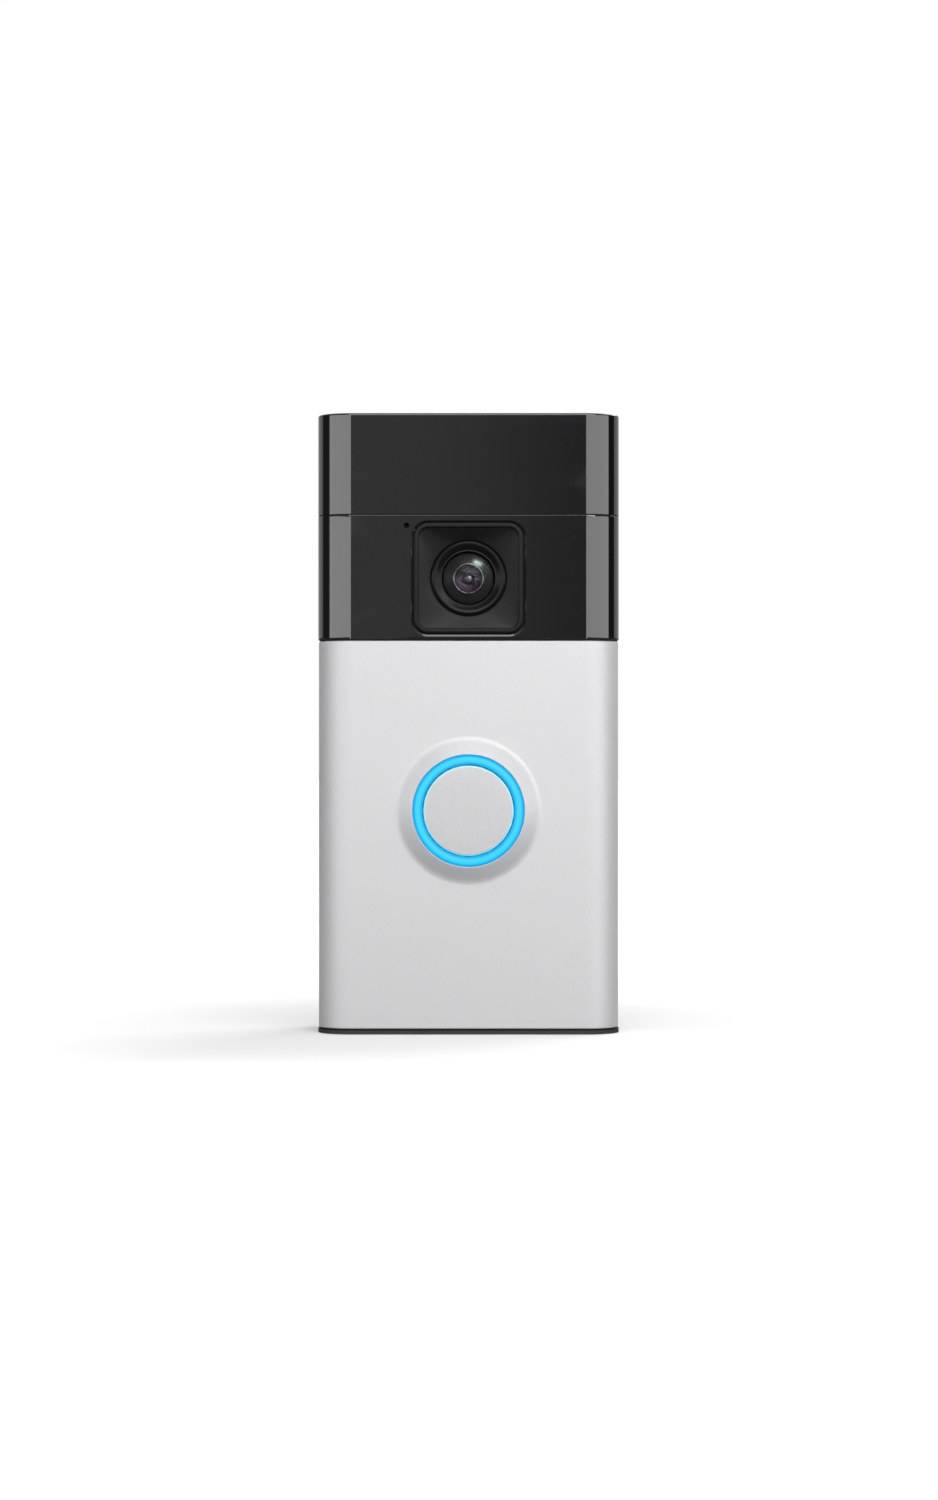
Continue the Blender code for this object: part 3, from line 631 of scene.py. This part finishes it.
def lens_black(name, color, roughness, ior):
    """Blackened lens metal with a fine grain in its sheen."""
    finish = Finish(name, color, roughness=roughness, ior=ior)
    grain = finish.noise(3000, 2.0)
    finish.feed("Roughness", roughness - 0.04 + 0.08 * grain)
    finish.feed("Base Color", finish.blend(grain, scaled(color, 0.8), scaled(color, 1.2)))
    return finish


def lens_glass(name, coat, cover, ior, roughness):
    """Coated optical glass, seen through but for the part of the light that its coat reflects."""
    finish = Finish(name, (0.0, 0.0, 0.0), roughness=roughness, ior=ior, alpha=cover)
    finish.shader.inputs["Specular Tint"].default_value = (*coat, 1.0)
    finish.feed("Roughness", 0.95 * roughness + 0.10 * roughness * finish.noise(700))
    return finish


hood_front = [(7.5, -11.25), (7.25, -11.42), (6.7, -11.36), (5.75, -10.98), (5.45, -11.05), (5.45, -9.4)]
hood_back = [(5.6, -8.2), (8.7, -8.2), (8.7, -9.0), (7.5, -9.0)]
hood = turned("lens_hood_ring", softened(hood_front + hood_back, 0.14), z=CAMERA_Z)
hood_black = lens_black("hood_black", (0.003, 0.003, 0.003), 0.24, 1.27)
fit(hood, hood_black, "doorbell", "gloss_black", "lens_hood")

front_lens = turned("front_lens_dome", dome(5.15, -11.35, 0.95, 0.6), z=CAMERA_Z, closed=False)
front_glass = lens_glass("front_glass", (0.82, 1.0, 0.93), 0.042, 1.8, 0.16)
fit(front_lens, front_glass, "doorbell", "lens_glass", "front_lens")

barrel_black = lens_black("barrel_black", (0.003, 0.003, 0.003), 0.45, 1.25)
barrel_front = [(2.98, -9.3), (3.12, -9.7), (3.3, -9.6), (5.2, -9.6)]
barrel_back = [(5.2, -4.6), (2.6, -4.6), (2.6, -5.3), (2.98, -5.3)]
barrel = turned("lens_barrel_tube", softened(barrel_front + barrel_back, 0.06), z=CAMERA_Z)
fit(barrel, barrel_black, "doorbell", "housing_black", "lens_barrel")

retainer_inside = [(2.92, -9.55), (2.94, -9.80), (2.98, -9.82)]
retainer_outside = [(3.12, -9.75), (3.14, -9.64), (3.0, -9.60)]
retainer = turned("lens_retaining_ring", softened(retainer_inside + retainer_outside, 0.05), z=CAMERA_Z)
retainer_metal = Finish("anodised_ring", (0.30, 0.28, 0.32), metallic=1.0, roughness=0.25)
retainer_metal.feed("Roughness", 0.20 + 0.15 * retainer_metal.noise(2500))
fit(retainer, retainer_metal, "doorbell", "housing_black")

inner_lens = turned("inner_lens_dome", dome(2.90, -9.4, 0.60, 0.5), z=CAMERA_Z, closed=False)
inner_glass = lens_glass("inner_glass", (0.85, 0.60, 0.95), 0.06, 1.8, 0.12)
fit(inner_lens, inner_glass, "doorbell", "lens_glass", "inner_lens")

stop_front = [(2.88, -8.03), (2.68, -8.03), (2.45, -8.12), (2.20, -8.03), (1.95, -8.12), (1.70, -8.03)]
stop_front += [(1.48, -8.13), (1.30, -8.03), (1.12, -7.85)]
stop_back = [(1.12, -7.28), (2.90, -7.28)]
stop = turned("stepped_stop", softened(stop_front + stop_back, 0.05), z=CAMERA_Z)
STEP_FADE = (1.2 * MM, 1.9 * MM)


def coated_stop():
    """Blackened stop whose steps have a violet cast under the coated glass, greyer near its hole."""
    finish = Finish("coated_stop", (0.10, 0.08, 0.12), metallic=1.0, roughness=0.24)
    radius = finish.distance(0.0, CAMERA_Z)
    pale = 1 - finish.between(*STEP_FADE, radius)
    finish.feed("Base Color", finish.blend(pale, (0.062, 0.046, 0.062), (0.12, 0.12, 0.14)))
    finish.feed("Roughness", 0.20 + 0.08 * finish.noise(2800))
    return finish


fit(stop, coated_stop(), "doorbell", "chip_black", "aperture_plate")

rear_element = turned("rear_lens_element", dome(1.5, -7.24, 0.85, 0.3), z=CAMERA_Z, closed=False, count=64)
pupil = Finish("pupil_glass", (0.010, 0.012, 0.030), roughness=0.20, ior=1.8)
# The grey centre is a painted reflection in the pupil, fading out to its dark blue rim.
PUPIL_RIM = (0.5 * MM, 1.05 * MM)
rim = pupil.between(*PUPIL_RIM, pupil.distance(0.0, CAMERA_Z))
pupil.feed("Base Color", pupil.blend(rim, (0.05, 0.05, 0.06), (0.006, 0.009, 0.030)))
fit(rear_element, pupil, "doorbell", "lens_glass")

# ---------------------------------------------------------------------------------------------
# Microphone mesh. A small disc of black woven mesh, bonded behind the bore in the fascia, that
# keeps dust and water out of the microphone.
# ---------------------------------------------------------------------------------------------
membrane_profile = [(0, -10.62), (0.62, -10.62), (0.62, -10.5), (0, -10.5)]
membrane = turned("microphone_mesh", membrane_profile, MICROPHONE_X, MICROPHONE_Z, closed=False, count=32)
weave = Finish("acoustic_mesh", (0.004, 0.004, 0.004), roughness=0.9)
THREAD_WAVES = 2500.0
wave = {"Vector": weave.place(), "Scale": THREAD_WAVES}
threads = weave.node("ShaderNodeTexWave", {"wave_type": "RINGS"}, wave, "Fac")
weave.feed("Base Color", weave.blend(threads, (0.002, 0.002, 0.002), (0.007, 0.007, 0.007)))
fit(membrane, weave, "doorbell", "chip_black")

# ---------------------------------------------------------------------------------------------
# Light ring. A clear guide with a domed crest that carries the blue light of the leds behind it
# up round the button. Its body is moulded with a flange that sits behind the faceplate.
# ---------------------------------------------------------------------------------------------
RING_IN = 9.50
RING_OUT = 11.30
RING_CREST = -13.95
RING_ROUND = 0.55
RING_FADE = 0.7


def lit_blue():
    """A translucent guide lit from behind: bright along its crest, deeper blue at both edges."""
    finish = Finish("lit_blue", (0.01, 0.10, 0.16), roughness=0.40, ior=1.3)
    radius = finish.distance(0.0, BUTTON_Z)
    inner_edge = finish.between(RING_IN * MM, (RING_IN + RING_FADE) * MM, radius)
    outer_edge = 1 - finish.between((RING_OUT - RING_FADE) * MM, RING_OUT * MM, radius)
    bright = inner_edge * outer_edge * (0.92 + 0.08 * finish.noise(240, 1.0))
    finish.glow(finish.blend(bright, (0.010, 0.33, 0.60), (0.045, 0.60, 0.97)))
    return finish


ring_t = np.linspace(0, np.pi, 17)
ring_r = (RING_IN + RING_OUT) / 2 - (RING_OUT - RING_IN) / 2 * np.cos(ring_t)
crest = np.stack([ring_r, RING_CREST + RING_ROUND * (1 - np.sin(ring_t))], -1)
ring_body = np.array([(RING_OUT, -10.2), (13.2, -10.2), (13.2, -9.4), (RING_IN, -9.4)])
light_ring = turned("light_ring_guide", np.concatenate([crest, ring_body]), z=BUTTON_Z)
fit(light_ring, lit_blue(), "doorbell", "lit_blue", "light_ring")

# ---------------------------------------------------------------------------------------------
# Button cap. The same satin silver as the faceplate, very slightly crowned, with a fine chamfer
# that carries a painted highlight of the ring's light. Its skirt and stem slide in the ring and press the
# dome.
# ---------------------------------------------------------------------------------------------
CAP_RADIUS = 9.20
CAP_FRONT = -13.85
CAP_CHAMFER = 0.35
CAP_CROWN = 0.10
cap_r = np.linspace(0, CAP_RADIUS - CAP_CHAMFER, 20)
cap_face = np.stack([cap_r, CAP_FRONT + CAP_CROWN * (cap_r / CAP_RADIUS) ** 4], -1)
cap_edge = [(CAP_RADIUS - 0.10, CAP_FRONT + 0.28), (CAP_RADIUS, CAP_FRONT + 0.45), (CAP_RADIUS, -10.4)]
cap_back = [(7.9, -10.4), (7.9, -12.2), (2.2, -12.2), (2.2, -9.85), (0, -9.85)]
cap_profile = np.concatenate([cap_face, softened([cap_face[-1]] + cap_edge + cap_back, 0.10)[1:]])
button_cap = turned("button_cap_face", cap_profile, z=BUTTON_Z, closed=False)
fit(button_cap, silver, "button", "satin_silver", "button_cap")

# ---------------------------------------------------------------------------------------------
# Rear housing and wall bracket. Black plastic mouldings with a fine spark-eroded grain, their
# outer edges broken by a small radius. The bracket stays on the wall and its hooks hold the rest.
# ---------------------------------------------------------------------------------------------
CREASE = np.radians(32)
NEARLY_FLAT = np.radians(1)


def finished_copy(name, node, width, segments=3):
    """The solid of a node with its flat faces merged and its sharp edges rounded."""
    mesh = nodes[node].data.copy()
    bm = bmesh.new()
    bm.from_mesh(mesh)
    bmesh.ops.remove_doubles(bm, verts=bm.verts, dist=MERGE_DISTANCE)
    bmesh.ops.dissolve_limit(bm, angle_limit=NEARLY_FLAT, verts=bm.verts, edges=bm.edges)
    bmesh.ops.recalc_face_normals(bm, faces=bm.faces)
    bm.to_mesh(mesh)
    bm.free()
    made = bpy.data.objects.new(name, mesh)
    mesh.name = name
    bpy.context.scene.collection.objects.link(made)
    mesh.shade_smooth()
    mesh.set_sharp_from_angle(angle=CREASE)
    bevel = made.modifiers.new("Bevel", "BEVEL")
    bevel.width = width
    bevel.segments = segments
    bevel.limit_method = "ANGLE"
    bevel.angle_limit = CREASE
    weighted = made.modifiers.new("WeightedNormal", "WEIGHTED_NORMAL")
    weighted.keep_sharp = True
    return made


def moulded_black(name, color):
    """Moulded black plastic with a spark-eroded grain and a little wear in its sheen."""
    finish = Finish(name, color, roughness=0.5, ior=1.48)
    grain = finish.noise(3600, 3.0)
    cloud = finish.noise(70, 3.0)
    finish.feed("Base Color", finish.blend(grain, scaled(color, 0.8), scaled(color, 1.25)))
    finish.feed("Roughness", 0.44 + 0.12 * grain + 0.08 * cloud)
    finish.bump(grain, 0.045 * MM)
    return finish


housing_black = moulded_black("housing_black", (0.032, 0.032, 0.034))
bracket_black = moulded_black("bracket_black", (0.042, 0.042, 0.045))
housing = finished_copy("rear_housing_moulding", "rear_housing", 0.22 * MM)
fit(housing, housing_black, "doorbell", "housing_black", "rear_housing")
bracket = finished_copy("mounting_bracket_moulding", "mounting_bracket", 0.30 * MM)
fit(bracket, bracket_black, "bracket", "bracket_black", "mounting_bracket")

# ---------------------------------------------------------------------------------------------
# Wiring pocket. Rubber charge cover on its hinge, rubber setup button, two slotted brass
# terminals and the charge port, all reached through the bracket's window.
# ---------------------------------------------------------------------------------------------


def soft_rubber():
    """Matt black rubber with a fine even grain and a dusty bloom."""
    finish = Finish("soft_rubber", (0.050, 0.050, 0.051), roughness=0.75, ior=1.45)
    bloom = finish.noise(260, 4.0)
    dust = finish.between(0.4, 0.7, bloom)
    finish.feed("Base Color", finish.blend(dust, (0.044, 0.044, 0.045), (0.075, 0.075, 0.076)))
    finish.feed("Roughness", 0.68 + 0.14 * bloom)
    finish.bump(finish.noise(5200, 2.0), 0.012 * MM)
    return finish


def plated_metal(name, color, roughness):
    """Bare or plated metal with short random scratches."""
    finish = Finish(name, color, metallic=1.0, roughness=roughness)
    scratch = finish.noise(900, 3.0, stretch=(1, 1, 9))
    stain = finish.noise(180, 3.0)
    finish.feed("Roughness", roughness - 0.06 + 0.14 * scratch)
    finish.feed("Base Color", finish.blend(stain, scaled(color, 0.88), color))
    finish.bump(scratch, 0.004 * MM)
    return finish


rubber = soft_rubber()
brass = plated_metal("terminal_brass", (0.72, 0.52, 0.22), 0.30)
steel = plated_metal("zinc_steel", (0.58, 0.58, 0.60), 0.30)
tinned = plated_metal("tinned_steel", (0.68, 0.68, 0.69), 0.28)
port_cover = finished_copy("port_cover_flap", "port_cover", 0.12 * MM)
fit(port_cover, rubber, "cover", "rubber", "port_cover")
setup_low, setup_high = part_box("setup_button")
setup_spot = ((setup_low[0] + setup_high[0]) / 2, (setup_low[2] + setup_high[2]) / 2)
setup_flange = [(0, 2.9), (3.2, 2.9), (3.2, 3.5), (2.2, 3.5)]
setup_cap = [(2.2, 6.4), (1.4, 6.4), (1.2, 6.2), (0, 6.15)]
setup_profile = softened(setup_flange + setup_cap, 0.25)
setup_button = turned("setup_button_cap", setup_profile, *setup_spot, closed=False, count=64)
fit(setup_button, rubber, "setup", "rubber", "setup_button")
for side in ("left", "right"):
    terminal = finished_copy(f"terminal_{side}", f"terminal_screw_{side}", 0.12 * MM)
    fit(terminal, brass, "doorbell", "terminal_brass", f"terminal_screw_{side}")
port = finished_copy("charge_port_shell", "charge_port", 0.06 * MM, 2)
fit(port, tinned, "doorbell", "tinned_steel", "charge_port")

# ---------------------------------------------------------------------------------------------
# Release clip, rivet and housing screws. Spring steel leaf and zinc-plated fasteners; the
# leaf's barb holds the doorbell down on the bracket's hooks.
# ---------------------------------------------------------------------------------------------
fasteners = {"release_clip": "bracket", "clip_rivet": "bracket"}
for corner in ("upper_left", "upper_right", "lower_left", "lower_right"):
    fasteners[f"housing_screw_{corner}"] = "doorbell"
for name, body in fasteners.items():
    fit(finished_copy(f"{name}_steel", name, 0.06 * MM, 2), steel, body, "steel", name)

# ---------------------------------------------------------------------------------------------
# Inner pieces. Boards, chips, speaker, battery, seals and the frame that carries them stay as
# they are, each in the finish of its kind.
# ---------------------------------------------------------------------------------------------
TRACE_WAVES = 700.0


def solder_mask(name, color):
    """A coated board: glossy mask over a faint weave, with lighter traces."""
    finish = Finish(name, color, roughness=0.35, ior=1.5)
    inputs = {"Vector": finish.place(), "Scale": TRACE_WAVES}
    cells = finish.node("ShaderNodeTexVoronoi", {"distance": "CHEBYCHEV"}, inputs, "Distance")
    trace = finish.between(0.40, 0.44, cells)
    finish.feed("Base Color", finish.blend(trace, color, scaled(color, 1.7)))
    finish.feed("Roughness", 0.30 + 0.15 * trace)
    finish.bump(trace, 0.015 * MM)
    return finish


def plain_grain(name, color, roughness, scale, depth, **values):
    """A plain moulded or pressed material with an even grain."""
    finish = Finish(name, color, roughness=roughness, **values)
    grain = finish.noise(scale, 3.0)
    finish.feed("Base Color", finish.blend(grain, scaled(color, 0.85), scaled(color, 1.15)))
    finish.feed("Roughness", roughness - 0.05 + 0.10 * grain)
    finish.bump(grain, depth)
    return finish


inner_finishes = {
    "housing_black": housing_black,
    "lens_glass": lens_glass("led_glass", (0.70, 0.40, 0.90), 0.75, 1.5, 0.10),
    "silicone": plain_grain("silicone", (0.42, 0.42, 0.43), 0.55, 900, 0.01 * MM, subsurface_weight=0.2),
    "window_film": plain_grain("window_film", (0.10, 0.10, 0.10), 0.45, 1200, 0.01 * MM),
    "steel": steel,
    "board_green": solder_mask("board_green", (0.02, 0.14, 0.06)),
    "board_white": solder_mask("board_white", (0.58, 0.58, 0.58)),
    "tinned_steel": tinned,
    "chip_black": plain_grain("chip_black", (0.02, 0.02, 0.02), 0.45, 2500, 0.01 * MM),
    "battery_wrap": plain_grain("battery_wrap", (0.03, 0.16, 0.42), 0.35, 300, 0.02 * MM),
    "foam": plain_grain("foam", (0.05, 0.05, 0.05), 0.95, 1500, 0.12 * MM),
    "amber_film": plain_grain("amber_film", (0.60, 0.32, 0.06), 0.35, 500, 0.01 * MM),
}
for entry in frame["record"]["subparts"]:
    node = entry["node"]
    if node in replaced_nodes:
        continue
    mesh = nodes[node].data
    mesh.materials.clear()
    mesh.materials.append(inner_finishes[entry["material_slot"]].material)

# ---------------------------------------------------------------------------------------------
# Studio. A pale floor and a level camera in front, a low wide light on either side, a key light
# and a top light above, and a lamp behind. Two strips light the faceplate's round edges alone,
# and a small lamp lights the lens alone.
# ---------------------------------------------------------------------------------------------
camera_data = bpy.data.cameras.new("camera")
camera = bpy.data.objects.new("camera", camera_data)
bpy.context.scene.collection.objects.link(camera)
CAMERA_DISTANCE = 0.714
CAMERA_SIDE = 0.1 * MM
CAMERA_HEIGHT = 58.1 * MM
FRAME_HEIGHT = 306.56 * MM
SENSOR_SIZE = 36.0
camera_data.sensor_width = SENSOR_SIZE
camera_data.lens = SENSOR_SIZE * CAMERA_DISTANCE / FRAME_HEIGHT
camera_data.clip_start = 0.01
camera.location = (CAMERA_SIDE, HEAD_FRONT - CAMERA_DISTANCE, CAMERA_HEIGHT)
camera.rotation_euler = (np.pi / 2, 0.0, 0.0)
bpy.context.scene.camera = camera


def soft_box(name, middle, target, width, height, radiance):
    """A rectangular light facing its target; radiance is what its face sends out."""
    data = bpy.data.lights.new(name, "AREA")
    data.shape = "RECTANGLE"
    data.size = width
    data.size_y = height
    data.energy = radiance * np.pi * width * height
    made = bpy.data.objects.new(name, data)
    bpy.context.scene.collection.objects.link(made)
    made.location = middle
    aim = made.location.copy()
    aim.xyz = target
    made.rotation_euler = (aim - made.location).to_track_quat("-Z", "Y").to_euler()
    return made


def side_box(name, side, near, far, radiance):
    """A low wide light beside the object, between two (x, y) ends, turned square to that line."""
    near = np.array(near) * (side, 1)
    far = np.array(far) * (side, 1)
    middle = (near + far) / 2
    along = far - near
    across = np.array([-along[1], along[0]]) * side
    target = middle + across
    soft_box(name, (*middle, SIDE_MIDDLE), (*target, SIDE_MIDDLE), np.hypot(*along), SIDE_HEIGHT, radiance)


SIDE_MIDDLE = 0.135
SIDE_HEIGHT = 0.19
NEAR_END = (0.078, -1.03)
side_box("left_box", -1, NEAR_END, (0.78, -0.13), 2.15)
side_box("right_box", 1, NEAR_END, (0.78, -0.06), 2.25)
soft_box("key_light", (0.08, -0.36, 0.245), (0.0, 0.0, 0.06), 0.34, 0.15, 5.0)
soft_box("top_light", (0.0, -0.30, 0.75), (0.0, 0.0, 0.09), 0.4, 0.14, 2.1)
soft_box("back_light", (0.32, 0.40, 0.55), (0.0, 0.0, 0.0), 0.4, 0.4, 4.5)
left_strip = soft_box("left_strip", (-0.37, -0.47, 0.06), (0.0, 0.0, 0.05), 0.14, 0.26, 2.8)
right_strip = soft_box("right_strip", (0.46, -0.39, 0.06), (0.0, 0.0, 0.05), 0.14, 0.26, 3.8)
lens_spot = (0.0, HEAD_FRONT, CAMERA_Z)
lens_light = soft_box("lens_light", (0.137, -0.478, 0.350), lens_spot, 0.12, 0.045, 170.0)
LENS_LIGHT_TURN = np.radians(-28)
lens_light.rotation_euler.rotate_axis("Z", LENS_LIGHT_TURN)


def light_only(lights, *pieces):
    """Lets lights fall on these pieces alone."""
    lit_only = bpy.data.collections.new("lit_only")
    for piece in pieces:
        lit_only.objects.link(piece)
    for light in lights:
        light.light_linking.receiver_collection = lit_only


light_only([lens_light], front_lens, retainer, rear_element)
light_only([left_strip, right_strip], faceplate)

world = bpy.data.worlds.new("world")
bpy.context.scene.world = world
world.use_nodes = True
sky = Graph(world.node_tree)
direction = sky.node("ShaderNodeTexCoord", {}, {}, "Generated")


def ramp(axis, low, high, start, end):
    """A world brightness that goes from start to end between two heights on an axis."""
    return sky.between(low, high, sky.node("ShaderNodeSeparateXYZ", {}, {0: direction}, axis), start, end)


front_light = ramp("Y", -0.30, -0.02, 1.0, 0.15) * ramp("X", -0.02, 0.045, 0.30, 0.10)
around = front_light.largest(ramp("Y", 0.40, 0.50, 0.0, 0.56)).largest(ramp("Z", 0.25, 0.95, 0.0, 0.65))
seen = sky.node("ShaderNodeLightPath", {}, {}, "Is Camera Ray").largest(around)
background = sky.tree.nodes["Background"]
background.inputs["Color"].default_value = (1.0, 1.0, 1.0, 1.0)
sky.tree.links.new(seen.socket, background.inputs["Strength"])

FLOOR_HALF = 6.0
FLOOR_Z = -0.1 * MM
WHITE_REACH = (0.04, 0.24)
corner_signs = ((-1, -1), (1, -1), (1, 1), (-1, 1))
floor_corners = [(x * FLOOR_HALF, y * FLOOR_HALF, FLOOR_Z) for x, y in corner_signs]
floor_mesh = bpy.data.meshes.new("floor")
floor_mesh.from_pydata(floor_corners, [], [(0, 1, 2, 3)])
floor = bpy.data.objects.new("floor", floor_mesh)
bpy.context.scene.collection.objects.link(floor)
floor_finish = Finish("pale_floor", (0.80, 0.80, 0.80), roughness=0.95)
floor_finish.shader.inputs["Specular IOR Level"].default_value = 0.0
floor_rays = floor_finish.node("ShaderNodeLightPath", {}, {}, "Is Camera Ray")
floor_finish.feed("Base Color", floor_finish.blend(floor_rays, (0.16, 0.16, 0.16), (0.72, 0.72, 0.72)))
length = {"operation": "LENGTH"}
reach = floor_finish.node("ShaderNodeVectorMath", length, {0: floor_finish.place()}, "Value")
away = floor_finish.between(*WHITE_REACH, reach)
far_white = floor_finish.blend(away, (0.22, 0.22, 0.22), (0.80, 0.80, 0.80))
floor_finish.glow(floor_finish.blend(floor_rays, (0.0, 0.0, 0.0), far_white))
floor_mesh.materials.append(floor_finish.material)

bpy.context.scene.view_settings.view_transform = "Standard"
